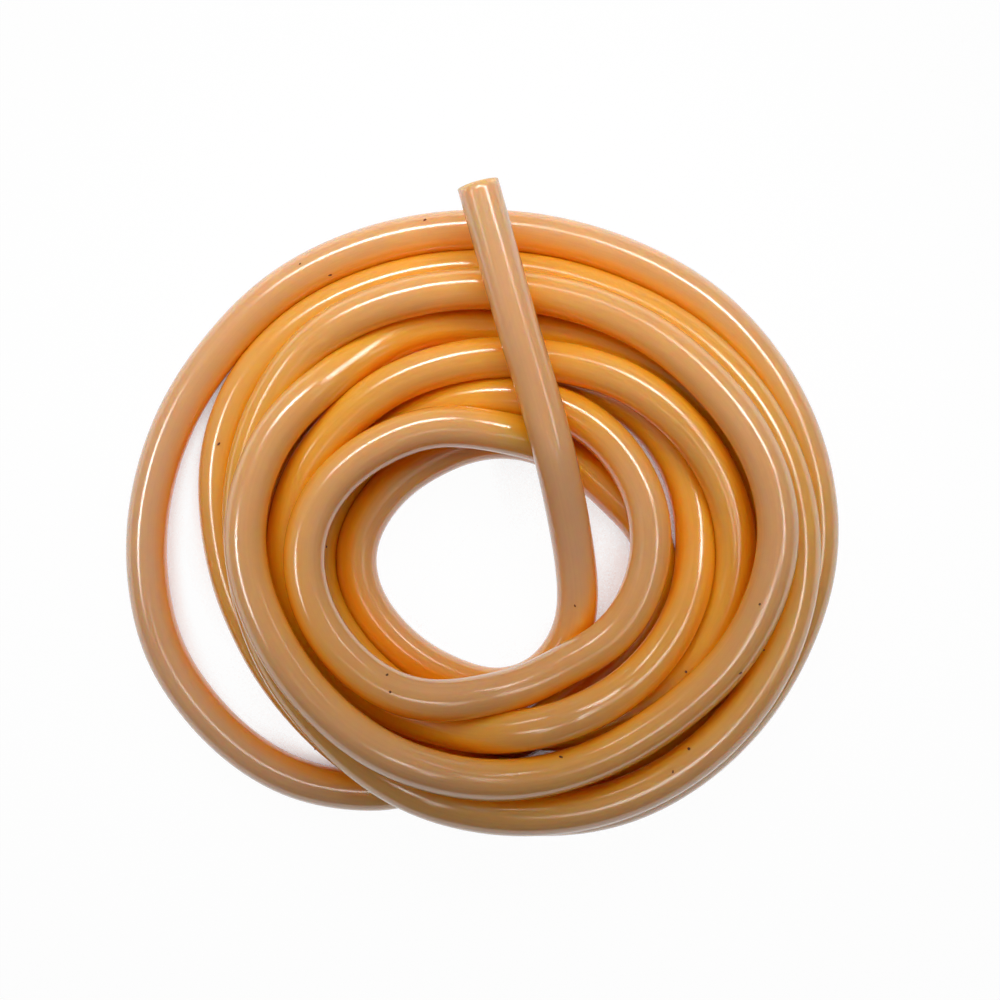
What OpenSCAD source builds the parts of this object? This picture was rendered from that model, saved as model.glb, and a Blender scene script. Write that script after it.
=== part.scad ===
// A bare coil of amber rubber tubing, lying flat as it comes off the shelf.
// The turns that lie side by side and on each other are one round body. A
// stretch of the outermost turn has come loose at the left and lies by itself,
// and the cut end runs from the innermost turn up over the whole coil.

/* [Tube] */
// Outside diameter of the tube
tube_od = 10; // [9:0.25:11]
// Bore of the tube
tube_bore = 6; // [4:0.25:7]

/* [Coil] */
// Radius of the outermost turn, to the middle of the tube
outer_turn_r = 73.5; // [72:0.5:76]
// Number of turns side by side on the floor
floor_turns = 5; // [4:1:5]
// Space left between one turn and the next
turn_gap = 0.05; // [0.02:0.01:0.2]
// How far out the crevice between two turns is filled
crevice_fill = 1.5; // [1:0.25:2]

/* [Loose stretches] */
// Compass angle where the loose loop leaves the outermost turn
loop_from_angle = 95; // [90:1:100]
// Compass angle where the loose loop comes back to the outermost turn
loop_to_angle = 255; // [250:1:260]
// Compass angle where the tube runs into the innermost turn
run_in_angle = 255; // [250:1:260]
// Compass angle where the innermost turn ends, short of the tube that comes in
inner_end_angle = 318; // [315:1:322]
// Length of the straight cut end, which is bored
cut_end_l = 37.5; // [25:0.5:45]

/* [Hidden] */

amber = [0.80, 0.58, 0.40];
tube_r = tube_od / 2;
turn_pitch = tube_od + turn_gap;
// A turn that lies in the groove between two others is this much higher
layer_rise = turn_pitch * sin(60);
floor_z = tube_r;
upper_z = floor_z + layer_rise;
inner_turn_r = outer_turn_r - (floor_turns - 1) * turn_pitch;
round_steps = 96;
section_steps = 48;

// The tube along a loose stretch has this many sides
tube_sides = 12;

// Route of the loose loop, from the outermost turn at the top round the left
// side and back to it at the bottom: x, y, and the height above the floor's
// turns in turn pitches. The two ends come from the coil's own sizes.
LOOP_ROUTE = [
    [-20.5, 72.5, 0],
    [-34.5, 69.5, 0],
    [-48.5, 63.5, 0],
    [-62, 54.5, 0],
    [-72.5, 44, 0],
    [-81.5, 31, 0],
    [-87.5, 16.5, 0],
    [-90.5, 1, 0],
    [-90, -15, 0],
    [-86, -30, 0],
    [-78, -42.5, 0],
    [-67.5, -53, 0],
    [-54.5, -60.5, 0],
    [-41, -64.5, 0],
    [-30, -67.5, 0]
];

// Where the straight cut end stops, and the direction of the cut, in plan
CUT_END_FOOT = [0.5, 45.8, 1.87];
CUT_END_HEADING = [-27, 96.3];

// Route from the foot of the cut end down across the hole to the innermost
// turn, as x, y and height in turn pitches
RUN_ROUTE = [
    [4.3, 33.6, 1.86],
    [8, 20.5, 1.5],
    [11.1, 7.5, 1.02],
    [13.4, -4, 0.56],
    [14.7, -14, 0.22],
    [13.6, -21.5, 0.05],
    [9, -27.5, 0],
    [2, -31, 0]
];

// Point on a circle about the coil's axis
function on_turn(radius, angle, height) =
    [radius * cos(angle), radius * sin(angle), height];
// Direction of the tube there, going clockwise or back
function along_turn(angle, way) = [way * -sin(angle), way * cos(angle), 0];
function unit(v) = v / norm(v);
// Hand route as points in millimetres
function lifted(route) =
    [for (p = route) [p.x, p.y, floor_z + p.z * turn_pitch]];

loop_path = concat(
    [on_turn(outer_turn_r, loop_from_angle, floor_z)],
    lifted(LOOP_ROUTE),
    [on_turn(outer_turn_r, loop_to_angle, floor_z)]);
cut_axis = unit([CUT_END_HEADING.x, CUT_END_HEADING.y, 0]);
cut_foot = lifted([CUT_END_FOOT])[0];
run_path = concat(
    [cut_foot],
    lifted(RUN_ROUTE),
    [on_turn(inner_turn_r, run_in_angle, floor_z)]);

// Direction of a path at one of its points: the two ends are given
function heading(path, i, first, last) =
    i == 0 ? first :
    i == len(path) - 1 ? last :
    unit(path[i + 1] - path[i - 1]);

// Ring of points round a path at one of its points, square to the tube
function ring(centre, way) =
    let (side = unit(cross(way, [0, 0, 1])), rise = cross(side, way))
    [for (k = [0 : tube_sides - 1])
        let (a = 360 * k / tube_sides)
        centre + tube_r * (cos(a) * side + sin(a) * rise)];
function rings(path, first, last) =
    [for (i = [0 : len(path) - 1])
        each ring(path[i], heading(path, i, first, last))];

loop_start_way = along_turn(loop_from_angle, 1);
loop_end_way = along_turn(loop_to_angle, 1);
run_end_way = along_turn(run_in_angle, -1);
loop_points = rings(loop_path, loop_start_way, loop_end_way);
run_points = rings(run_path, -cut_axis, run_end_way);

// The whole part's box, from which its base centre becomes the origin
cut_tip = cut_foot + cut_end_l * cut_axis;
box_left = min([for (p = loop_points) p.x]);
box_right = outer_turn_r + tube_r;
box_back = max(cut_tip.y + tube_r * abs(cut_axis.x), outer_turn_r + tube_r);
box_front = -(outer_turn_r + tube_r);
base_centre = [(box_left + box_right) / 2, (box_back + box_front) / 2, 0];

module in_place() {
    translate(-base_centre)
        children();
}

// Closed tube through rings of points
module swept_tube(points) {
    ring_count = len(points) / tube_sides;
    walls = [
        for (i = [0 : ring_count - 2], k = [0 : tube_sides - 1])
            let (
                a = i * tube_sides + k,
                b = i * tube_sides + (k + 1) % tube_sides
            )
            [a, b, b + tube_sides, a + tube_sides]
    ];
    first_cap = [for (k = [tube_sides - 1 : -1 : 0]) k];
    last_cap = [for (k = [0 : tube_sides - 1]) (ring_count - 1) * tube_sides + k];
    polyhedron(points = points, faces = concat([first_cap], walls, [last_cap]));
}

// Middle of a turn in the coil's section, counted from the innermost one
function floor_turn(i) = [inner_turn_r + i * turn_pitch, floor_z];
function upper_turn(i) = [inner_turn_r + (i + 0.5) * turn_pitch, upper_z];

// Section of one turn
module turn_section(middle) {
    translate(middle)
        circle(d = tube_od, $fn = section_steps);
}

// Two turns press together, so the crevice between them is filled
module pressed_together(one, other) {
    along = other - one;
    translate(one)
        rotate([0, 0, atan2(along.y, along.x)])
            translate([0, -crevice_fill])
                square([norm(along), 2 * crevice_fill]);
}

// Section of the turns that go all the way round
module full_turns_section() {
    last_floor = floor_turns - 2;
    last_upper = floor_turns - 2;
    for (i = [1 : last_floor])
        turn_section(floor_turn(i));
    for (i = [0 : last_upper])
        turn_section(upper_turn(i));
    for (i = [1 : last_floor - 1])
        pressed_together(floor_turn(i), floor_turn(i + 1));
    for (i = [0 : last_upper - 1])
        pressed_together(upper_turn(i), upper_turn(i + 1));
    pressed_together(upper_turn(0), floor_turn(1));
    pressed_together(floor_turn(last_floor), upper_turn(last_upper));
    polygon([upper_turn(0), floor_turn(1), floor_turn(last_floor), upper_turn(last_upper)]);
}

// A turn on the floor that stops short of a full round, and how it is pressed
// to the turn beside it and the one above
module part_turn(middle, beside, above, from_angle, to_angle) {
    rotate([0, 0, from_angle])
        rotate_extrude(angle = to_angle - from_angle, $fn = round_steps) {
            turn_section(middle);
            pressed_together(middle, beside);
            pressed_together(middle, above);
            polygon([middle, above, beside]);
        }
}

module coil() {
    outer = floor_turns - 1;
    color(amber)
        in_place() {
            rotate_extrude($fn = round_steps)
                full_turns_section();
            part_turn(
                floor_turn(outer), floor_turn(outer - 1), upper_turn(outer - 1),
                loop_to_angle - 360, loop_from_angle);
            part_turn(
                floor_turn(0), floor_turn(1), upper_turn(0),
                inner_end_angle - 360, run_in_angle);
        }
}

module loose_loop() {
    color(amber)
        in_place()
            swept_tube(loop_points);
}

module crossing_run() {
    color(amber)
        in_place()
            swept_tube(run_points);
}

// The cut end is straight, and its bore is open at the cut
module cut_end() {
    bore_overrun = 1;
    color(amber)
        in_place()
            translate(cut_foot)
                rotate([0, 0, atan2(cut_axis.y, cut_axis.x)])
                    rotate([0, 90, 0])
                        difference() {
                            cylinder(d = tube_od, h = cut_end_l, $fn = section_steps);
                            translate([0, 0, -bore_overrun])
                                cylinder(
                                    d = tube_bore,
                                    h = cut_end_l + 2 * bore_overrun,
                                    $fn = section_steps);
                        }
}

coil();
loose_loop();
crossing_run();
cut_end();
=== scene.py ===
"""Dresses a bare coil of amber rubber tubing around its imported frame.

The coil is one length of tube. Its turns are wound from a table of radii at
points of the compass, then settle under their own weight until they lie beside
and on each other. The tube's walls are swept along that path, with a short
open bore at both cut ends. A few grains of dirt stick to the rubber where the
photo shows them.
"""

from __future__ import annotations

import logging
import math
from dataclasses import dataclass, field
from enum import Enum
from typing import Any

import bpy
import numpy as np
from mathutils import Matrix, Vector

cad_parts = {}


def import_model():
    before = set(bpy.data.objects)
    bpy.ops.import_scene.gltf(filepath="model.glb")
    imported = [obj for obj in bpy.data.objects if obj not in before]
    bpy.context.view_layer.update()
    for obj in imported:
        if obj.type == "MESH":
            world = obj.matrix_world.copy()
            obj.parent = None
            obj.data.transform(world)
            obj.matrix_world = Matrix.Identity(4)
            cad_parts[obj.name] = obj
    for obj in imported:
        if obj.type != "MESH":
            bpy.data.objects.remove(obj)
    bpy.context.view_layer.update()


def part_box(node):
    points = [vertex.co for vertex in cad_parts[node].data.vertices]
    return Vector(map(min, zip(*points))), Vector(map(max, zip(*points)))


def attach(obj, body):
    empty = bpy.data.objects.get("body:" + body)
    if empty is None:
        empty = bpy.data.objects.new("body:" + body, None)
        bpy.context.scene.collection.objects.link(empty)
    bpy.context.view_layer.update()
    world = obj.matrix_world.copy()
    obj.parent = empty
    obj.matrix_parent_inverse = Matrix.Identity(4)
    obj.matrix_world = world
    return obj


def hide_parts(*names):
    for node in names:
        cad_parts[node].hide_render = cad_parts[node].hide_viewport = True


LOG = logging.getLogger("tubing_coil")
BODY = "root"
CROWDING = "crowding"
MM = 0.001
WHITE = (1.0, 1.0, 1.0, 1.0)


class Compass(Enum):
    """Directions seen from above, as degrees clockwise from +X."""

    E = 0.0
    ESE = 22.5
    SE = 45.0
    SSE = 67.5
    S = 90.0
    SSW = 112.5
    SW = 135.0
    WSW = 157.5
    W = 180.0
    WNW = 202.5
    NW = 225.0
    NNW = 247.5
    N = 270.0
    NNE = 292.5
    NE = 315.0
    ENE = 337.5


@dataclass(frozen=True)
class TubeStock:
    """The tube itself, in metres.

    Attributes:
        outside: Outside diameter.
        bore: Bore diameter.
        wall_sides: Sides of the outer wall.
        bore_sides: Sides of the bore.
        bore_depth: How deep the bore goes in from each cut end.
        ring_step: Distance between two rings along the tube.
    """

    outside: float = 0.010
    bore: float = 0.006
    wall_sides: int = 32
    bore_sides: int = 16
    bore_depth: float = 0.014
    ring_step: float = 0.002


@dataclass(frozen=True)
class Turn:
    """About one turn of the coil, as stations that the tube passes in order.

    Attributes:
        name: What the turn is called.
        stations: Radius in millimetres and level in layers at each direction.
    """

    name: str
    stations: dict[Compass, tuple[float, float]]


@dataclass(frozen=True)
class LooseStretch:
    """A stretch of tube that is laid on the floor through given points.

    Attributes:
        name: What the stretch is called.
        points: The points, as x and y in millimetres.
    """

    name: str
    points: tuple[tuple[float, float], ...]


@dataclass
class CoilRoute:
    """The way the tube's middle goes, from the cut end to the hidden end.

    Lengths are in millimetres about the coil's own axis.

    Attributes:
        tube_d: Outside diameter of the tube.
        layer_rise: Height of one layer of turns on another.
        eye: The point that radii are measured from.
        station_step: Distance between the points that settle.
        stiff_end: Length from the cut end that is too stiff to droop.
        tremor_passes: How often the settled points are evened out.
        wind_step: Degrees between two points of the wound turns.
        join_angle: Degrees round the first turn at which the free end joins it.
        free_end: Given points of the stretch from the cut end across the hole, as x, y and
            level.
        loop: Given points of the loop that has sprung loose.
        turns: The turns and loose stretches in the order the tube makes them.
    """

    tube_d: float = 10.0
    layer_rise: float = 8.7
    eye: tuple[float, float] = (-1.95, -2.45)
    station_step: float = 4.0
    stiff_end: float = 88.0
    tremor_passes: int = 2
    wind_step: float = 1.0
    join_angle: float = 8.0
    free_end: tuple[tuple[float, float, float], ...] = (
        (-9.6, 81.9, 2.2),
        (-4.6, 64.0, 2.28),
        (0.5, 45.8, 2.3),
        (4.3, 33.6, 2.25),
        (7.3, 22.5, 2.08),
        (10.3, 10.5, 1.7),
        (12.8, -1.5, 1.1),
        (14.2, -11.0, 0.6),
        (14.5, -18.5, 0.25),
        (13.2, -25.2, 0.08),
        (9.3, -32.0, 0.0),
        (3.4, -37.0, 0.0),
    )
    loop: LooseStretch = LooseStretch("loop", (
        (-9.5, -55.0), (-21.5, -61.0), (-41.0, -63.3), (-54.5, -60.5), (-67.5, -53.0),
        (-78.0, -42.5), (-86.0, -30.0), (-90.0, -15.0), (-90.5, 1.0), (-87.5, 16.5),
        (-81.5, 31.0), (-72.5, 44.0), (-62.0, 54.5), (-48.5, 63.5), (-34.5, 69.5),
        (-20.5, 72.5),
    ))
    turns: tuple[Turn | LooseStretch, ...] = field(init=False)

    def __post_init__(self) -> None:
        """Lays out the turns in the order in which the tube makes them."""
        at = Compass
        self.turns = (
            Turn("hole_edge", {
                at.S: (37.3, 0), at.SSW: (36.8, 0), at.SW: (38, 0), at.WSW: (40, 0),
                at.W: (37.5, 0), at.WNW: (32.5, 0), at.NW: (28, 0), at.NNW: (26, 0),
                at.N: (25, 0), at.NE: (25.5, 0), at.ENE: (28, 0), at.E: (35, 0),
                at.ESE: (39, 0), at.SE: (40, 0), at.SSE: (42, 0)}),
            Turn("under_the_coil", {at.S: (49.5, 0)}),
            self.loop,
            Turn("rim", {
                at.N: (75.5, 0), at.NNE: (74, 0), at.NE: (74.5, 0), at.ENE: (75, 0),
                at.E: (75, 0), at.ESE: (73, 0), at.SE: (71.5, 0), at.SSE: (70, 0),
                at.S: (66.5, 0.35), at.SSW: (64, 1), at.SW: (64, 0.35), at.WSW: (65, 0)}),
            Turn("second_rim", {
                at.W: (70, 0), at.WNW: (74.5, 0), at.NW: (73.5, 0), at.NNW: (69, 0),
                at.N: (65.5, 0), at.NNE: (65, 0.5), at.NE: (66.5, 0.8), at.ENE: (68.5, 0.9),
                at.E: (70, 1), at.ESE: (70, 1), at.SE: (69, 1), at.SSE: (67.5, 1.1),
                at.S: (65.5, 1.5), at.SSW: (63.5, 2), at.SW: (62.5, 1.4), at.WSW: (63, 1)}),
            Turn("shoulder", {
                at.W: (64, 1), at.WNW: (66.5, 1), at.NW: (67, 1), at.NNW: (63.5, 1),
                at.N: (60.5, 1.2), at.NE: (60.5, 1.6), at.E: (64, 1.8), at.ESE: (61, 1.7),
                at.SE: (57, 1.5), at.S: (56.5, 2), at.SSW: (57.5, 2.5), at.SW: (58.5, 2.2),
                at.WSW: (60.5, 2)}),
            Turn("left_top", {
                at.W: (63, 2), at.WNW: (62, 2), at.NW: (58.5, 1.6), at.NNW: (56, 0.7),
                at.N: (52, 0), at.NNE: (53, 0), at.NE: (56, 0), at.ENE: (60.5, 0),
                at.E: (64, 0), at.ESE: (63, 0), at.SE: (61.5, 0), at.S: (57.5, 0.5),
                at.SSW: (55.5, 1), at.SW: (55, 0.4), at.WSW: (57, 0)}),
            Turn("under_turn", {
                at.W: (60, 0), at.NW: (50.5, 0), at.N: (39, 0), at.NE: (44.5, 0),
                at.E: (45.5, 1), at.SE: (45, 1), at.SSE: (44.5, 1.7), at.S: (45, 2),
                at.SSW: (47, 2), at.SW: (50.5, 1.3)}),
            Turn("middle_turn", {
                at.W: (54, 1), at.NW: (48, 1), at.N: (43.5, 1), at.NE: (48.5, 1),
                at.E: (54.5, 0.7), at.SE: (53, 0.5), at.S: (45, 1), at.SW: (47, 0.4)}),
            Turn("inner_turn", {
                at.W: (47.2, 0), at.WNW: (42.4, 0.1), at.NW: (39, 0.4), at.N: (35, 0.9),
                at.NE: (34, 1), at.E: (34, 1), at.SE: (33.5, 1), at.SSE: (32.5, 1),
                at.S: (36, 1), at.SW: (46.5, 1.7)}),
            Turn("hidden_end", {
                at.W: (49, 2), at.NW: (36, 1), at.N: (26, 1.2), at.NNE: (25, 1.1)}),
        )

    def stations(self) -> np.ndarray:
        """Puts every turn's stations on one winding angle.

        Returns:
            Rows of winding angle in degrees, radius and height.
        """
        tube_r = self.tube_d / 2
        rows: list[tuple[float, float, float]] = []
        wind: float | None = None
        for turn in self.turns:
            if isinstance(turn, LooseStretch):
                for x, y in turn.points:
                    dx, dy = x - self.eye[0], y - self.eye[1]
                    wind = self._wound_past(wind, -math.degrees(math.atan2(dy, dx)))
                    rows.append((wind, math.hypot(dx, dy), tube_r))
                continue
            for direction, (radius, level) in turn.stations.items():
                wind = self._wound_past(wind, direction.value)
                rows.append((wind, radius, tube_r + self.layer_rise * level))
        return np.array(rows)

    @staticmethod
    def _wound_past(wind: float | None, angle: float) -> float:
        """Adds full rounds to an angle until it lies past the last one.

        Args:
            wind: Winding angle reached so far, or None at the start.
            angle: The next station's own angle.

        Returns:
            The next station's winding angle.
        """
        if wind is None:
            return angle
        allowance = 1.0
        while angle < wind - allowance:
            angle += 360
        return angle

    @staticmethod
    def _through(t: np.ndarray, v: np.ndarray, at: np.ndarray) -> np.ndarray:
        """Follows a smooth curve through given values.

        Args:
            t: Where the values are given.
            v: The values.
            at: Where the curve is wanted.

        Returns:
            The curve's values.
        """
        gap = np.diff(t)
        slope = np.diff(v) / gap
        m = np.empty_like(v)
        m[1:-1] = (slope[:-1] * gap[1:] + slope[1:] * gap[:-1]) / (gap[1:] + gap[:-1])
        m[0], m[-1] = slope[0], slope[-1]
        k = np.clip(np.searchsorted(t, at) - 1, 0, len(t) - 2)
        x = (at - t[k]) / gap[k]
        return (
            (2 * x**3 - 3 * x**2 + 1) * v[k]
            + (x**3 - 2 * x**2 + x) * gap[k] * m[k]
            + (3 * x**2 - 2 * x**3) * v[k + 1]
            + (x**3 - x**2) * gap[k] * m[k + 1]
        )

    def wound(self) -> np.ndarray:
        """Winds the turns as they would lie before they settle.

        Returns:
            Points along the tube's middle.
        """
        st = self.stations()
        at = np.arange(st[0, 0], st[-1, 0], self.wind_step)
        radius = self._through(st[:, 0], st[:, 1], at)
        height = np.maximum(self._through(st[:, 0], st[:, 2], at), self.tube_d / 2)
        angle = np.radians(-at)
        x = self.eye[0] + radius * np.cos(angle)
        y = self.eye[1] + radius * np.sin(angle)
        return np.stack([x, y, height], 1)

    def laid_out(self) -> np.ndarray:
        """Joins the free end to the turns.

        Returns:
            Points from the cut end to the hidden end, evenly spaced.
        """
        turns = self.wound()
        join = int(self.join_angle / self.wind_step)
        lifted = np.array([
            (x, y, self.tube_d / 2 + self.layer_rise * level)
            for x, y, level in self.free_end
        ])
        fine_step = 1.0
        run_in = smooth_through(np.vstack([lifted, turns[join:3 * join:join]]), fine_step)
        keep = np.linalg.norm(run_in - turns[join], axis=1).argmin()
        return evenly(np.vstack([run_in[:keep], turns[join:]]), self.station_step)

    def settled(self, step: float) -> np.ndarray:
        """Lets the tube down until its turns rest on each other.

        Args:
            step: About how far apart the points are.

        Returns:
            Points from the cut end to the hidden end.
        """
        held = int(self.stiff_end / self.station_step)
        rest = TubeSettling(self.tube_d).run(self.laid_out(), held)
        for _ in range(self.tremor_passes):
            middle = 0.5 * (rest[:-2] + rest[2:])
            rest[1:-1] += 0.5 * (middle - rest[1:-1])
        return smooth_through(rest, step)


def run_along(path: np.ndarray) -> np.ndarray:
    """Measures how far along a path each of its points lies.

    Args:
        path: Points of the path.

    Returns:
        The length from the first point to each point.
    """
    return np.concatenate([[0], np.cumsum(np.linalg.norm(np.diff(path, axis=0), axis=1))])


def evenly(path: np.ndarray, step: float) -> np.ndarray:
    """Spaces points evenly along a path.

    Args:
        path: Points of the path.
        step: About how far apart the new points are.

    Returns:
        The new points.
    """
    run = run_along(path)
    at = np.linspace(0, run[-1], int(round(run[-1] / step)) + 1)
    return np.stack([np.interp(at, run, path[:, k]) for k in range(3)], 1)


def smooth_through(points: np.ndarray, step: float) -> np.ndarray:
    """Runs a smooth curve through given points.

    Args:
        points: The points.
        step: About how far apart the curve's points are.

    Returns:
        Points along the curve.
    """
    fine_step = 0.5
    p = np.vstack([2 * points[0] - points[1], points, 2 * points[-1] - points[-2]])
    chords = np.linalg.norm(np.diff(p, axis=0), axis=1)
    knots = np.concatenate([[0], np.cumsum(np.sqrt(chords))])
    out = []
    for i in range(1, len(p) - 2):
        t0, t1, t2, t3 = knots[i - 1:i + 3]
        p0, p1, p2, p3 = p[i - 1:i + 3]
        count = max(2, int(np.linalg.norm(p2 - p1) / fine_step))
        for t in np.linspace(t1, t2, count, endpoint=False):
            a = (t1 - t) / (t1 - t0) * p0 + (t - t0) / (t1 - t0) * p1
            b = (t2 - t) / (t2 - t1) * p1 + (t - t1) / (t2 - t1) * p2
            c = (t3 - t) / (t3 - t2) * p2 + (t - t2) / (t3 - t2) * p3
            d = (t2 - t) / (t2 - t0) * a + (t - t0) / (t2 - t0) * b
            e = (t3 - t) / (t3 - t1) * b + (t - t1) / (t3 - t1) * c
            out.append((t2 - t) / (t2 - t1) * d + (t - t1) / (t2 - t1) * e)
    out.append(points[-1])
    return evenly(np.array(out), step)


@dataclass
class TubeSettling:
    """Lets a laid out tube sink onto the floor and onto itself.

    Attributes:
        tube_d: Outside diameter.
        squeeze: How much nearer than a diameter pressed stretches come.
        rounds: How many small moves are made.
        sink: How far the tube sinks at each move.
        pull: How much of the way back to its layout it is drawn in plan.
        stiffness: How much of a move is shared with the points beside it.
        sideways: How readily stretches that overlap give way in plan.
        refresh: Moves between two searches for stretches that may meet.
        neighbours_skipped: Points along the tube that never count as meeting.
        reach: How much further apart than a diameter the search looks.
        passes: How often each move is shared out, and how often it is pushed apart.
        push_share: Share of their number that a point's summed pushes are divided by.
        least_gap: Gap below which two middles count as being in one place.
    """

    tube_d: float
    squeeze: float = 0.3
    rounds: int = 400
    sink: float = 0.03
    pull: float = 0.12
    stiffness: float = 0.3
    sideways: float = 0.5
    refresh: int = 8
    neighbours_skipped: int = 5
    reach: float = 6.0
    passes: int = 2
    push_share: float = 0.6
    least_gap: float = 1e-6

    def run(self, laid: np.ndarray, held: int) -> np.ndarray:
        """Settles the tube.

        Args:
            laid: Points along the tube before it settles.
            held: How many points at the cut end are too stiff to droop.

        Returns:
            The points where they come to rest.
        """
        p = laid.copy()
        touching = (np.empty(0, int), np.empty(0, int))
        for step in range(self.rounds):
            if step % self.refresh == 0:
                touching = self._near_pairs(p)
            p[held:, 2] -= self.sink
            p[:held, 2] += self.pull * (laid[:held, 2] - p[:held, 2])
            p[:, :2] += self.pull * (laid[:, :2] - p[:, :2])
            for _ in range(self.passes):
                self._share_moves(p, laid)
            for _ in range(self.passes):
                self._push_apart(p, *touching)
        return p

    def _near_pairs(self, p: np.ndarray) -> tuple[np.ndarray, np.ndarray]:
        """Finds which points may meet which stretches.

        Args:
            p: Points along the tube.

        Returns:
            Numbers of the points, and of the point that begins each stretch.
        """
        index = np.arange(len(p))
        apart = ((p[:, None, :] - p[None, :, :]) ** 2).sum(2)
        other = np.abs(index[:, None] - index[None, :]) > self.neighbours_skipped
        one, two = np.nonzero((apart < (self.tube_d + self.reach) ** 2) & other)
        return one, np.minimum(two, len(p) - 2)

    def _share_moves(self, p: np.ndarray, laid: np.ndarray) -> None:
        """Spreads each point's move along the tube, as its stiffness does.

        Args:
            p: Points along the tube, which are moved.
            laid: Where they lay before they settled.
        """
        moved = p - laid
        moved[:, 2] = p[:, 2]
        middle = 0.5 * (moved[:-2] + moved[2:])
        moved[1:-1] += self.stiffness * (middle - moved[1:-1])
        p[:, :2] = laid[:, :2] + moved[:, :2]
        p[:, 2] = moved[:, 2]

    def _push_apart(self, p: np.ndarray, one: np.ndarray, two: np.ndarray) -> None:
        """Pushes stretches that overlap apart, and all of them off the floor.

        Args:
            p: Points along the tube, which are moved.
            one: Numbers of the points that may meet a stretch.
            two: Number of the point that begins each of those stretches.
        """
        closest = self.tube_d - self.squeeze
        start, end = p[two], p[two + 1]
        along = end - start
        t = np.clip(((p[one] - start) * along).sum(1) / (along * along).sum(1), 0, 1)
        away = p[one] - start - t[:, None] * along
        gap = np.linalg.norm(away, axis=1)
        hit = gap < closest
        push = np.where(hit, (closest - gap) / 2, 0) / np.maximum(gap, self.least_gap)
        force = away * push[:, None] * np.array((self.sideways, self.sideways, 1.0))
        move = np.zeros_like(p)
        shared = np.zeros(len(p))
        np.add.at(move, one, force)
        np.add.at(move, two, -force * (1 - t)[:, None])
        np.add.at(move, two + 1, -force * t[:, None])
        np.add.at(shared, one[hit], 1.0)
        np.add.at(shared, two[hit], 0.5)
        np.add.at(shared, two[hit] + 1, 0.5)
        p += move / np.maximum(shared * self.push_share, 1)[:, None]
        p[:, 2] = np.maximum(p[:, 2], self.tube_d / 2)


@dataclass
class Skin:
    """The walls and faces of one mesh, as they are gathered.

    Attributes:
        points: Points of each wall.
        runs: Length along the tube of each wall's points.
        faces: Point numbers round each face.
        uvs: Place on the UV map of each corner of each face.
        count: How many points there are so far.
    """

    points: list[np.ndarray] = field(default_factory=list)
    runs: list[np.ndarray] = field(default_factory=list)
    faces: list[tuple[int, ...]] = field(default_factory=list)
    uvs: list[tuple[tuple[float, float], ...]] = field(default_factory=list)
    count: int = 0

    def wall(self, rings: np.ndarray, along: np.ndarray, inward: bool) -> int:
        """Adds a wall through rings of points.

        Args:
            rings: Points as an array of rings.
            along: Length along the tube of each ring.
            inward: Whether the wall faces the tube's middle.

        Returns:
            The number of the wall's first point.
        """
        base = self.count
        sides = rings.shape[1]
        for i in range(len(rings) - 1):
            for k in range(sides):
                n = (k + 1) % sides
                a = base + i * sides
                quad = (a + k, a + n, a + sides + n, a + sides + k)
                corners = (
                    (k / sides, along[i]), ((k + 1) / sides, along[i]),
                    ((k + 1) / sides, along[i + 1]), (k / sides, along[i + 1]))
                self.faces.append(quad[::-1] if inward else quad)
                self.uvs.append(corners[::-1] if inward else corners)
        self.points.append(rings.reshape(-1, 3))
        self.runs.append(np.repeat(along, sides))
        self.count += len(rings) * sides
        return base

    def cap(
        self, face: tuple[int, ...], uv: tuple[tuple[float, float], ...], turned: bool,
    ) -> None:
        """Adds one face of a cut end or of a bore's floor.

        Args:
            face: Point numbers round the face.
            uv: Place on the UV map of each corner, in the order that is kept.
            turned: Whether the face is turned over.
        """
        self.faces.append(face[::-1] if turned else face)
        self.uvs.append(uv)


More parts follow.
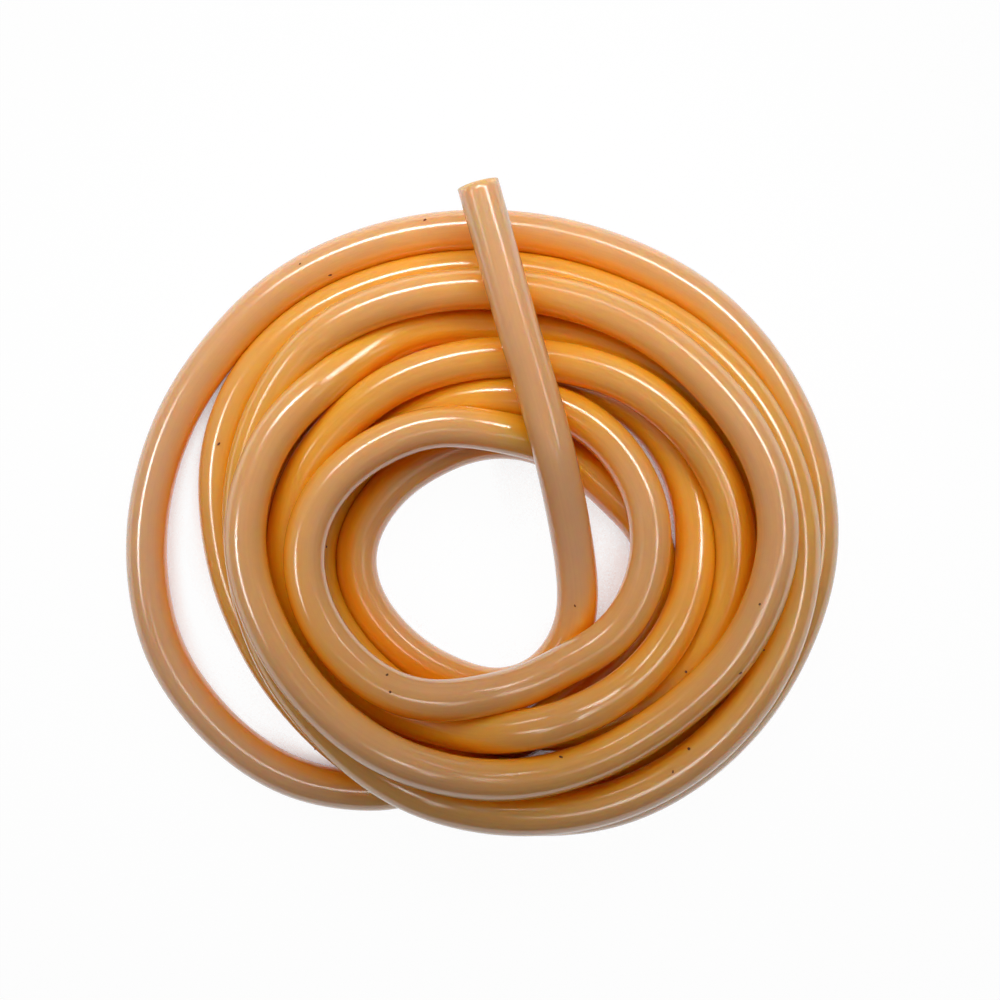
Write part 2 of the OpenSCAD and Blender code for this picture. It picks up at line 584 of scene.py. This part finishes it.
@dataclass
class Tubing:
    """The whole length of tube as one mesh with a short bore at each cut end.

    Attributes:
        stock: The tube's section.
        path: Ring centres in metres.
        own_stretch: Length of tube each way that doesn't crowd a point of it.
        crowd_reach: How near other stretches count as crowding.
        full_crowd: How many ring centres near by make a point fully crowded.
        batch: How many points have their crowding measured at a time.
    """

    stock: TubeStock
    path: np.ndarray
    own_stretch: float = 0.022
    crowd_reach: float = 0.009
    full_crowd: float = 26.0
    batch: int = 2000

    @property
    def length(self) -> float:
        """Length along the tube's middle, in metres."""
        return float(np.linalg.norm(np.diff(self.path, axis=0), axis=1).sum())

    def frames(self) -> tuple[np.ndarray, np.ndarray]:
        """Carries a pair of cross directions along the path without twist.

        Returns:
            The two directions at each ring.
        """
        way = np.gradient(self.path, axis=0)
        way /= np.linalg.norm(way, axis=1)[:, None]
        side = np.cross(way[0], (0.0, 0.0, 1.0))
        side /= np.linalg.norm(side)
        sides = []
        for heading in way:
            side = side - side.dot(heading) * heading
            side /= np.linalg.norm(side)
            sides.append(side)
        across = np.array(sides)
        return across, np.cross(way, across)

    def _wall(self, radius: float, sides: int) -> np.ndarray:
        """Places the rings of one wall.

        Args:
            radius: Radius of the wall.
            sides: Points in each ring.

        Returns:
            Points as an array of rings.
        """
        across, up = self.frames()
        turn = np.linspace(0, 2 * math.pi, sides, endpoint=False)
        spokes = (
            np.cos(turn)[None, :, None] * across[:, None, :]
            + np.sin(turn)[None, :, None] * up[:, None, :]
        )
        return self.path[:, None, :] + radius * spokes

    def crowding(self, points: np.ndarray, own: np.ndarray) -> np.ndarray:
        """Measures how much other rubber lies round each point of the skin.

        Args:
            points: Points on the skin.
            own: Length along the tube of each point.

        Returns:
            Crowding from 0 to 1.
        """
        at = run_along(self.path)
        crowd = np.empty(len(points))
        for start in range(0, len(points), self.batch):
            part = slice(start, start + self.batch)
            apart = ((points[part, None, :] - self.path[None, :, :]) ** 2).sum(2)
            near = np.exp(-apart / (2 * self.crowd_reach ** 2))
            near[np.abs(own[part, None] - at[None, :]) < self.own_stretch] = 0
            crowd[part] = near.sum(1)
        return np.clip(crowd / self.full_crowd, 0, 1)

    def _cut_face(self, skin: Skin, wall: int, bore: int, at: float, turned: bool) -> None:
        """Closes a cut end between its outer wall and its bore.

        Args:
            skin: What the face is added to.
            wall: Number of the first point round the wall.
            bore: Number of the first point round the bore.
            at: Length along the tube.
            turned: Whether the face is turned over.
        """
        wall_sides, bore_sides = self.stock.wall_sides, self.stock.bore_sides
        ratio = wall_sides // bore_sides
        for k in range(bore_sides):
            rim = tuple(wall + (k * ratio + j) % wall_sides for j in range(ratio, -1, -1))
            face = (bore + k, bore + (k + 1) % bore_sides) + rim
            skin.cap(face, ((k / bore_sides, at),) * len(face), turned)

    def _bore_floor(self, skin: Skin, bore: int, at: float, turned: bool) -> None:
        """Closes the bottom of a bore.

        Args:
            skin: What the face is added to.
            bore: Number of the first point round the bore.
            at: Length along the tube.
            turned: Whether the face is turned over.
        """
        sides = self.stock.bore_sides
        face = tuple(range(bore, bore + sides))
        skin.cap(face, tuple((k / sides, at) for k in range(sides)), turned)

    def _skin(self) -> Skin:
        """Gathers the outer wall, the two short bores and what closes them.

        Returns:
            The gathered skin.
        """
        stock = self.stock
        last = len(self.path) - 1
        deep = int(stock.bore_depth / stock.ring_step)
        run = run_along(self.path)
        bore = self._wall(stock.bore / 2, stock.bore_sides)
        skin = Skin()
        wall = skin.wall(self._wall(stock.outside / 2, stock.wall_sides), run, False)
        near = skin.wall(bore[:deep + 1], run[:deep + 1], True)
        far = skin.wall(bore[last - deep:], run[last - deep:], True)
        wall_end = wall + last * stock.wall_sides
        inner_ring = deep * stock.bore_sides
        self._cut_face(skin, wall, near, run[0], False)
        self._cut_face(skin, wall_end, far + inner_ring, run[last], True)
        self._bore_floor(skin, near + inner_ring, run[deep], True)
        self._bore_floor(skin, far, run[last - deep], False)
        return skin

    def build(self, name: str) -> bpy.types.Object:
        """Makes the tube's mesh, with a UV map round and along it.

        Args:
            name: Name of the object.

        Returns:
            The new object.
        """
        skin = self._skin()
        points = np.concatenate(skin.points)
        mesh = bpy.data.meshes.new(name)
        mesh.from_pydata(points.tolist(), [], skin.faces)
        layer = mesh.uv_layers.new(name="around_and_along")
        flat = [value for corners in skin.uvs for corner in corners for value in corner]
        layer.data.foreach_set("uv", flat)
        caps = 2 * self.stock.bore_sides + 2
        smooth = [True] * (len(skin.faces) - caps) + [False] * caps
        mesh.polygons.foreach_set("use_smooth", smooth)
        # The crowding share masks the shade painted into the rubber's colour.
        crowd = mesh.attributes.new(CROWDING, "FLOAT", "POINT")
        shares = self.crowding(points, np.concatenate(skin.runs))
        crowd.data.foreach_set("value", shares.astype(np.float32))
        mesh.validate()
        mesh.update()
        obj = bpy.data.objects.new(name, mesh)
        bpy.context.collection.objects.link(obj)
        return obj


class Signal:
    """A shader socket that takes part in Python expressions."""

    def __init__(self, bench: NodeBench, socket: bpy.types.NodeSocket) -> None:
        """Keeps the socket and the bench that its nodes are made on.

        Args:
            bench: The bench of the node tree.
            socket: An output socket.
        """
        self.bench = bench
        self.socket = socket

    def beside(self, name: str) -> Signal:
        """Takes another output of the same node.

        Args:
            name: The output's name.

        Returns:
            The other output.
        """
        return Signal(self.bench, self.socket.node.outputs[name])

    def _sum(self, operation: str, *values: Any) -> Signal:
        """Adds one Math node.

        Args:
            operation: What the node does.
            *values: Numbers or signals for its sockets, in order.

        Returns:
            The node's output.
        """
        return self.bench.node(
            "ShaderNodeMath", {"operation": operation}, dict(enumerate(values)))

    def __add__(self, other: Any) -> Signal:
        """Adds a value."""
        return self._sum("ADD", self, other)

    __radd__ = __add__

    def __sub__(self, other: Any) -> Signal:
        """Takes a value away."""
        return self._sum("SUBTRACT", self, other)

    def __rsub__(self, other: Any) -> Signal:
        """Is taken away from a value."""
        return self._sum("SUBTRACT", other, self)

    def __mul__(self, other: Any) -> Signal:
        """Multiplies by a value."""
        return self._sum("MULTIPLY", self, other)

    __rmul__ = __mul__

    def clamped(self) -> Signal:
        """Keeps the value between 0 and 1."""
        return self._sum("MINIMUM", self._sum("MAXIMUM", self, 0.0), 1.0)

    def ramp(self, low: float, high: float) -> Signal:
        """Goes smoothly from 0 to 1 between two values.

        Args:
            low: Value at which the ramp starts.
            high: Value at which it ends.

        Returns:
            The ramp.
        """
        return self.bench.node(
            "ShaderNodeMapRange",
            {"interpolation_type": "SMOOTHSTEP", "clamp": True},
            {"Value": self, "From Min": low, "From Max": high})


class NodeBench:
    """Makes the nodes of one material or world."""

    def __init__(self, tree: bpy.types.NodeTree) -> None:
        """Empties the tree.

        Args:
            tree: The node tree to fill.
        """
        self.tree = tree
        tree.nodes.clear()

    def node(
        self, kind: str, settings: dict[str, Any] | None = None,
        inputs: dict[str | int, Any] | None = None, output: str | int = 0,
    ) -> Signal | None:
        """Adds a node.

        Args:
            kind: The node's type.
            settings: Its own settings, set first.
            inputs: Values or signals for its sockets, by name or place.
            output: Which output is handed back.

        Returns:
            The output, ready for expressions.
        """
        node = self.tree.nodes.new(kind)
        for key, value in (settings or {}).items():
            setattr(node, key, value)
        for key, value in (inputs or {}).items():
            if isinstance(value, Signal):
                self.tree.links.new(value.socket, node.inputs[key])
            else:
                node.inputs[key].default_value = value
        return Signal(self, node.outputs[output]) if node.outputs else None

    def mixed(self, factor: Any, one: Any, other: Any) -> Signal:
        """Mixes two colours.

        Args:
            factor: How much of the other colour.
            one: First colour.
            other: Second colour.

        Returns:
            The mixed colour.
        """
        return self.node(
            "ShaderNodeMix", {"data_type": "RGBA"}, {0: factor, 6: one, 7: other}, 2)


def srgb(red: float, green: float, blue: float) -> tuple[float, float, float, float]:
    """Turns a display colour into the linear one that shaders use.

    Args:
        red: Red, 0 to 255.
        green: Green, 0 to 255.
        blue: Blue, 0 to 255.

    Returns:
        The linear colour with full alpha.
    """
    def linear(value: float) -> float:
        """Takes one channel out of display space."""
        value /= 255
        return value / 12.92 if value <= 0.04045 else ((value + 0.055) / 1.055) ** 2.4

    return linear(red), linear(green), linear(blue), 1.0


@dataclass(frozen=True)
class AmberLatex:
    """The tube's rubber: translucent and glossy, with die lines and painted shade and glow.

    Attributes:
        lit: Colour painted where light gets in from all sides, the lit copy of the rubber.
        amber: Painted shade: deeper colour painted where other stretches lie close round it.
        deep: Painted glow: colour painted in the crevices, where light comes only through
            rubber.
        crevice_reach: How far a crevice's walls are looked for.
        mottle_scale: How fine the cloudy patches in the rubber are.
        die_scale: How fine the die lines are round the tube and along it.
        dimmest: Brightness where neither a patch nor a line lies.
        mottle_shade: How much a patch brightens the rubber.
        line_shade: How much a die line brightens it.
        relief: Share of the die lines in the skin's relief.
        relief_depth: Depth of that relief, in metres.
        relief_strength: How much of it is felt by the light.
        roughness: Roughness of the smooth skin.
        line_roughness: How much rougher a die line is.
        glow_radius: How far red, green and blue light go in the rubber, as shares.
        glow_scale: How far red light goes, in metres.
        gloss: Strength of the skin's reflections.
        coat: Strength of the clear film on the skin.
        coat_roughness: Roughness of that film.
    """

    lit: tuple[float, float, float] = (210, 167, 126)
    amber: tuple[float, float, float] = (222, 164, 64)
    deep: tuple[float, float, float] = (244, 160, 24)
    crevice_reach: float = 0.03
    mottle_scale: float = 90.0
    die_scale: tuple[float, float, float] = (60.0, 2.0, 1.0)
    dimmest: float = 0.90
    mottle_shade: float = 0.06
    line_shade: float = 0.14
    relief: float = 0.35
    relief_depth: float = 0.0003
    relief_strength: float = 0.08
    roughness: float = 0.15
    line_roughness: float = 0.06
    glow_radius: tuple[float, float, float] = (1.0, 0.6, 0.25)
    glow_scale: float = 0.008
    gloss: float = 1.0
    coat: float = 0.5
    coat_roughness: float = 0.1

    def material(self) -> bpy.types.Material:
        """Builds the material.

        Returns:
            The new material.
        """
        material = bpy.data.materials.new("amber_latex_skin")
        material.use_nodes = True
        bench = NodeBench(material.node_tree)
        place = bench.node("ShaderNodeTexCoord", output="Object")
        around = bench.node("ShaderNodeTexCoord", output="UV")
        crowd = bench.node(
            "ShaderNodeAttribute",
            {"attribute_type": "GEOMETRY", "attribute_name": CROWDING}, output="Fac")
        mottle = bench.node(
            "ShaderNodeTexNoise", {},
            {"Vector": place, "Scale": self.mottle_scale, "Detail": 3.0})
        die = bench.node(
            "ShaderNodeMapping", {}, {"Vector": around, "Scale": self.die_scale})
        lines = bench.node(
            "ShaderNodeTexNoise", {}, {"Vector": die, "Scale": 1.0, "Detail": 3.0})
        open_sky = bench.node(
            "ShaderNodeAmbientOcclusion", {"samples": 4},
            {"Distance": self.crevice_reach}, "AO")
        # Painted shade: the colour goes from lit to deeper amber where other stretches crowd
        # round.
        body = bench.mixed(crowd.ramp(0.0, 0.9), srgb(*self.lit), srgb(*self.amber))
        # Painted glow and shade: crevices that ambient occlusion finds get the deep orange
        # colour.
        hidden = (1 - open_sky).ramp(0.2, 0.8)
        tone = bench.mixed(hidden, body, srgb(*self.deep))
        value = self.dimmest + self.mottle_shade * mottle + self.line_shade * lines
        shaded = bench.node("ShaderNodeHueSaturation", {}, {"Color": tone, "Value": value})
        height = self.relief * lines + (1 - self.relief) * mottle
        bump = bench.node("ShaderNodeBump", {}, {
            "Height": height, "Strength": self.relief_strength, "Distance": self.relief_depth})
        skin = bench.node("ShaderNodeBsdfPrincipled", {}, {
            "Base Color": shaded,
            "Roughness": self.roughness + self.line_roughness * lines,
            "Subsurface Weight": 1.0,
            "Subsurface Radius": self.glow_radius,
            "Subsurface Scale": self.glow_scale,
            "Subsurface Anisotropy": 0.5,
            "Specular IOR Level": self.gloss,
            "Coat Weight": self.coat,
            "Coat Roughness": self.coat_roughness,
            "IOR": 1.5,
            "Normal": bump,
        })
        bench.node("ShaderNodeOutputMaterial", {}, {"Surface": skin})
        return material


@dataclass(frozen=True)
class Specks:
    """Grains of dirt that stick to the tube where the photo shows them.

    Attributes:
        spots: Where each grain is seen, as x and y in millimetres at the height
            of the lowest turns' middles.
        spot_height: That height in millimetres.
        grain: Radius of a grain in metres.
        narrowest: Least stretch of a grain along its three directions.
        widest: Most stretch of a grain along its three directions.
        least_twist: Least turn of a grain about three axes, in radians.
        most_twist: Most turn of a grain about three axes, in radians.
        ray_start: How far down from the camera each ray sets out, as a share.
        seed: Seed of the grains' shapes.
        brown: Their colour.
        paler: How much brighter their pale spots are.
    """

    spots: tuple[tuple[float, float], ...] = (
        (59.0, -18.1), (41.0, -34.6), (54.2, -34.9), (60.0, -29.3), (10.5, -55.4),
        (41.7, -53.4), (37.8, -59.0), (-32.0, -35.4), (-31.2, -39.5), (-46.8, -4.1),
        (-49.5, -53.4), (13.9, -18.5), (-22.7, 75.6), (-45.9, 62.2), (-73.0, 21.0),
        (-53.2, 64.9),
    )
    spot_height: float = 5.0
    grain: float = 0.00032
    narrowest: tuple[float, float, float] = (0.6, 0.6, 0.4)
    widest: tuple[float, float, float] = (1.8, 1.1, 0.8)
    least_twist: tuple[float, float, float] = (-0.3, -0.3, 0.0)
    most_twist: tuple[float, float, float] = (0.3, 0.3, 3.1)
    ray_start: float = 0.7
    seed: int = 7
    brown: tuple[float, float, float] = (74, 44, 26)
    paler: float = 1.5

    def material(self) -> bpy.types.Material:
        """Builds the grains' material.

        Returns:
            The new material.
        """
        material = bpy.data.materials.new("brown_dirt")
        material.use_nodes = True
        bench = NodeBench(material.node_tree)
        place = bench.node("ShaderNodeTexCoord", output="Object")
        spots = bench.node("ShaderNodeTexNoise", {}, {"Vector": place, "Scale": 2600.0})
        pale = srgb(*(self.paler * value for value in self.brown))
        tone = bench.mixed(spots, srgb(*self.brown), pale)
        skin = bench.node(
            "ShaderNodeBsdfPrincipled", {}, {"Base Color": tone, "Roughness": 0.85})
        bench.node("ShaderNodeOutputMaterial", {}, {"Surface": skin})
        return material

    def tree(self) -> bpy.types.NodeTree:
        """Builds the nodes that put a grain where each ray meets the rubber.

        Returns:
            The geometry node tree.
        """
        tree = bpy.data.node_groups.new("specks_on_rubber", "GeometryNodeTree")
        bench = NodeBench(tree)
        sockets = (
            ("Geometry", "INPUT", "NodeSocketGeometry"),
            ("Rubber", "INPUT", "NodeSocketObject"),
            ("Eye", "INPUT", "NodeSocketVector"),
            ("Grain", "INPUT", "NodeSocketFloat"),
            ("Seed", "INPUT", "NodeSocketInt"),
            ("Dirt", "INPUT", "NodeSocketMaterial"),
            ("Geometry", "OUTPUT", "NodeSocketGeometry"),
        )
        for name, way, kind in sockets:
            tree.interface.new_socket(name, in_out=way, socket_type=kind)

        def given(name: str) -> Signal:
            """Takes one of the tree's own inputs."""
            return bench.node("NodeGroupInput", output=name)

        place = bench.node("GeometryNodeInputPosition")
        ray = bench.node(
            "ShaderNodeVectorMath", {"operation": "SUBTRACT"}, {0: place, 1: given("Eye")})
        rubber = bench.node(
            "GeometryNodeObjectInfo", {"transform_space": "RELATIVE"},
            {"Object": given("Rubber")}, "Geometry")
        meeting = bench.node("GeometryNodeRaycast", {}, {
            "Target Geometry": rubber, "Source Position": place,
            "Ray Direction": ray, "Ray Length": 1.0}, "Hit Position")
        missed = bench.node(
            "FunctionNodeBooleanMath", {"operation": "NOT"}, {0: meeting.beside("Is Hit")})
        landing = bench.node(
            "GeometryNodeDeleteGeometry", {},
            {"Geometry": given("Geometry"), "Selection": missed})
        landed = bench.node(
            "GeometryNodeSetPosition", {}, {"Geometry": landing, "Position": meeting})
        ball = bench.node(
            "GeometryNodeMeshIcoSphere", {}, {"Radius": given("Grain"), "Subdivisions": 2})
        stretch = bench.node(
            "FunctionNodeRandomValue", {"data_type": "FLOAT_VECTOR"},
            {0: self.narrowest, 1: self.widest, "Seed": given("Seed")})
        twist = bench.node(
            "FunctionNodeRandomValue", {"data_type": "FLOAT_VECTOR"},
            {0: self.least_twist, 1: self.most_twist, "Seed": given("Seed")})
        grains = bench.node("GeometryNodeInstanceOnPoints", {}, {
            "Points": landed, "Instance": ball, "Rotation": twist, "Scale": stretch})
        plain = bench.node("GeometryNodeRealizeInstances", {}, {"Geometry": grains})
        dirty = bench.node(
            "GeometryNodeSetMaterial", {}, {"Geometry": plain, "Material": given("Dirt")})
        bench.node("NodeGroupOutput", {}, {"Geometry": dirty})
        return tree

    def build(self, tube: bpy.types.Object, axis: Vector, eye: Vector) -> bpy.types.Object:
        """Puts the grains on the tube, as one plain mesh.

        Args:
            tube: The tube.
            axis: The coil's axis.
            eye: Where the camera stands.

        Returns:
            The new object.
        """
        seen = [axis + Vector((x, y, self.spot_height)) * MM for x, y in self.spots]
        starts = [eye.lerp(spot, self.ray_start) for spot in seen]
        mesh = bpy.data.meshes.new("specks")
        mesh.from_pydata([tuple(start) for start in starts], [], [])
        specks = bpy.data.objects.new("specks", mesh)
        bpy.context.collection.objects.link(specks)
        tree = self.tree()
        modifier = specks.modifiers.new("specks", "NODES")
        modifier.node_group = tree
        values = {
            "Rubber": tube, "Eye": tuple(eye), "Grain": self.grain, "Seed": self.seed,
            "Dirt": self.material()}
        for socket in tree.interface.items_tree:
            if socket.in_out == "INPUT" and socket.name in values:
                modifier[socket.identifier] = values[socket.name]
        bpy.context.view_layer.update()
        graph = bpy.context.evaluated_depsgraph_get()
        grains = bpy.data.meshes.new_from_object(specks.evaluated_get(graph))
        specks.modifiers.remove(modifier)
        specks.data = grains
        return specks


@dataclass(frozen=True)
class Softbox:
    """One lamp that faces the coil.

    Attributes:
        name: Name of the lamp.
        bearing: Degrees counterclockwise from +X at which it hangs.
        height: Degrees above the floor.
        far: Distance from the coil in metres.
        size: Width and height of its face.
        power: Its power in watts.
        aim_out: How far from the axis, towards the lamp, it is aimed.
        spread: Angle in degrees that its grid lets light out in.
        glossy: Whether it shows as a highlight.
    """

    name: str
    bearing: float
    height: float
    far: float
    size: tuple[float, float]
    power: float
    aim_out: float = 0.0
    spread: float = 180.0
    glossy: bool = True


@dataclass
class Studio:
    """A white sweep, soft lamps and a camera that looks straight down.

    Attributes:
        eye_height: Height of the camera above the floor.
        eye_plan: Where the camera stands in plan, about the coil's axis.
        view_width: Width that the picture covers at the tube's middle height.
        tube_middle: Height of the middle of a tube that lies on the floor.
        sensor: Width of the camera's sensor in millimetres.
        nearest: Distance from the camera at which its view begins.
        floor_half: Half the width of the floor.
        floor_tone: The floor's own colour, away from the tube.
        slit_reach: How far a slit's walls are looked for from the floor.
        slit_ramp: Share of open sky at which the floor is all painted amber shade, and all
            white.
        amber_shade: Painted shade: amber colour painted on the floor seen down a slit between
            turns.
        slit_glow: How white the floor shows at the bottom of a slit.
        floor_glow: How much whiter it shows in the open.
        sky_light: Strength of the light from all sides.
        lamps: The softboxes.
    """

    eye_height: float = 0.600
    eye_plan: tuple[float, float] = (-0.004392, 0.00732)
    view_width: float = 0.244
    tube_middle: float = 0.005
    sensor: float = 36.0
    nearest: float = 0.01
    floor_half: float = 3.0
    floor_tone: tuple[float, float, float, float] = (0.85, 0.85, 0.85, 1)
    slit_reach: float = 0.03
    slit_ramp: tuple[float, float] = (0.04, 0.2)
    amber_shade: tuple[float, float, float] = (230, 130, 30)
    slit_glow: float = 0.05
    floor_glow: float = 0.92
    sky_light: float = 0.14
    lamps: tuple[Softbox, ...] = (
        Softbox("fill_back", 104, 54, 0.27, (0.30, 0.20), 0.45, glossy=False),
        Softbox("grid_back", 106, 52, 0.32, (0.26, 0.05), 0.027, 0.055, 36),
        Softbox("grid_back_right", 50, 56, 0.32, (0.26, 0.05), 0.023, 0.055, 36),
        Softbox("grid_right", 2, 62, 0.32, (0.26, 0.05), 0.008, 0.055, 36),
        Softbox("grid_front_right", -48, 74, 0.32, (0.26, 0.05), 0.004, 0.055, 36),
        Softbox("grid_front", -100, 84, 0.32, (0.26, 0.05), 0.006, 0.055, 36),
        Softbox("grid_left", 172, 50, 0.32, (0.26, 0.05), 0.015, 0.080, 30),
    )

    def camera(self, axis: Vector) -> bpy.types.Object:
        """Sets the camera over the coil.

        Args:
            axis: The coil's axis on the floor.

        Returns:
            The camera.
        """
        data = bpy.data.cameras.new("camera")
        data.sensor_width = self.sensor
        data.lens = self.sensor * (self.eye_height - self.tube_middle) / self.view_width
        data.clip_start = self.nearest
        camera = bpy.data.objects.new("camera", data)
        x, y = self.eye_plan
        camera.location = (axis.x + x, axis.y + y, self.eye_height)
        bpy.context.collection.objects.link(camera)
        bpy.context.scene.camera = camera
        return camera

    def floor(self) -> bpy.types.Object:
        """Lays the white floor, with amber shade painted where it lies down a slit.

        Returns:
            The floor.
        """
        mesh = bpy.data.meshes.new("floor")
        half = self.floor_half
        mesh.from_pydata(
            [(-half, -half, 0), (half, -half, 0), (half, half, 0), (-half, half, 0)],
            [], [(0, 1, 2, 3)])
        floor = bpy.data.objects.new("floor", mesh)
        bpy.context.collection.objects.link(floor)
        material = bpy.data.materials.new("white_floor")
        material.use_nodes = True
        bench = NodeBench(material.node_tree)
        ray = bench.node("ShaderNodeLightPath", output="Is Camera Ray")
        gloss = bench.node("ShaderNodeLightPath", output="Is Glossy Ray")
        clear = bench.node("ShaderNodeLightPath", output="Is Transmission Ray")
        seen = (ray + gloss + clear).clamped()
        sky = bench.node(
            "ShaderNodeAmbientOcclusion", {"samples": 4}, {"Distance": self.slit_reach}, "AO")
        open_floor = sky.ramp(*self.slit_ramp)
        # Painted shade: the floor is painted amber where it lies down a slit between turns.
        painted_slit_tint = bench.mixed(open_floor, srgb(*self.amber_shade), self.floor_tone)
        paper = bench.node("ShaderNodeBsdfDiffuse", {}, {"Color": painted_slit_tint})
        glow = bench.node("ShaderNodeEmission", {}, {"Color": WHITE, "Strength": 1.0})
        shown = seen * (self.slit_glow + self.floor_glow * open_floor)
        lit = bench.node("ShaderNodeMixShader", {}, {0: shown, 1: paper, 2: glow})
        bench.node("ShaderNodeOutputMaterial", {}, {"Surface": lit})
        mesh.materials.append(material)
        return floor

    def world(self) -> None:
        """Surrounds the coil with even white light."""
        world = bpy.data.worlds.new("studio")
        bpy.context.scene.world = world
        world.use_nodes = True
        bench = NodeBench(world.node_tree)
        ray = bench.node("ShaderNodeLightPath", output="Is Camera Ray")
        soft = bench.node(
            "ShaderNodeBackground", {}, {"Color": WHITE, "Strength": self.sky_light})
        plain = bench.node("ShaderNodeBackground", {}, {"Color": WHITE, "Strength": 1.0})
        lit = bench.node("ShaderNodeMixShader", {}, {0: ray, 1: soft, 2: plain})
        bench.node("ShaderNodeOutputWorld", {}, {"Surface": lit})

    def lamp(self, softbox: Softbox, axis: Vector) -> bpy.types.Object:
        """Hangs one softbox that faces the coil.

        Args:
            softbox: Where it hangs, its face and its power.
            axis: The coil's axis.

        Returns:
            The lamp.
        """
        data = bpy.data.lights.new(softbox.name, "AREA")
        data.shape = "RECTANGLE"
        data.size, data.size_y = softbox.size
        data.energy = softbox.power
        lamp = bpy.data.objects.new(softbox.name, data)
        bearing, height = math.radians(softbox.bearing), math.radians(softbox.height)
        aim = Vector((
            math.cos(height) * math.cos(bearing),
            math.cos(height) * math.sin(bearing),
            math.sin(height)))
        target = axis + softbox.aim_out * Vector((math.cos(bearing), math.sin(bearing), 0))
        data.spread = math.radians(softbox.spread)
        lamp.location = target + softbox.far * aim
        lamp.rotation_euler = aim.to_track_quat("Z", "Y").to_euler()
        lamp.visible_glossy = softbox.glossy
        lamp.visible_camera = False
        bpy.context.collection.objects.link(lamp)
        return lamp

    def build(self, axis: Vector) -> Vector:
        """Sets up the floor, the light and the camera.

        Args:
            axis: The coil's axis on the floor.

        Returns:
            Where the camera stands.
        """
        camera = self.camera(axis)
        self.floor()
        self.world()
        for softbox in self.lamps:
            self.lamp(softbox, axis)
        bpy.context.scene.view_settings.view_transform = "Standard"
        return camera.location.copy()


def coil_axis() -> Vector:
    """Finds the coil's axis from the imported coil, whose turns are round it.

    Returns:
        The axis on the floor.
    """
    outer_reach = 78.5 * MM
    low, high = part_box("coil")
    return Vector((high[0] - outer_reach, low[1] + outer_reach, 0.0))


def main() -> None:
    """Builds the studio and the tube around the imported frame."""
    logging.basicConfig(level=logging.INFO, format="%(name)s: %(message)s")
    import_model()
    axis = coil_axis()
    eye = Studio().build(axis)

    stock = TubeStock()
    route = CoilRoute(tube_d=stock.outside / MM)
    LOG.info("turns in order: %s", ", ".join(turn.name for turn in route.turns))
    path = route.settled(stock.ring_step / MM) * MM + np.array(axis)
    tubing = Tubing(stock, path)
    tube = tubing.build("rubber_tube")
    tube.data.materials.append(AmberLatex().material())
    specks = Specks().build(tube, axis, eye)
    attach(tube, BODY)
    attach(specks, BODY)
    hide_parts("coil", "loose_loop", "crossing_run", "cut_end")
    LOG.info("rubber_tube: %.3f m, %d faces", tubing.length, len(tube.data.polygons))
    LOG.info("specks: %d faces", len(specks.data.polygons))


if __name__ == "__main__":
    main()
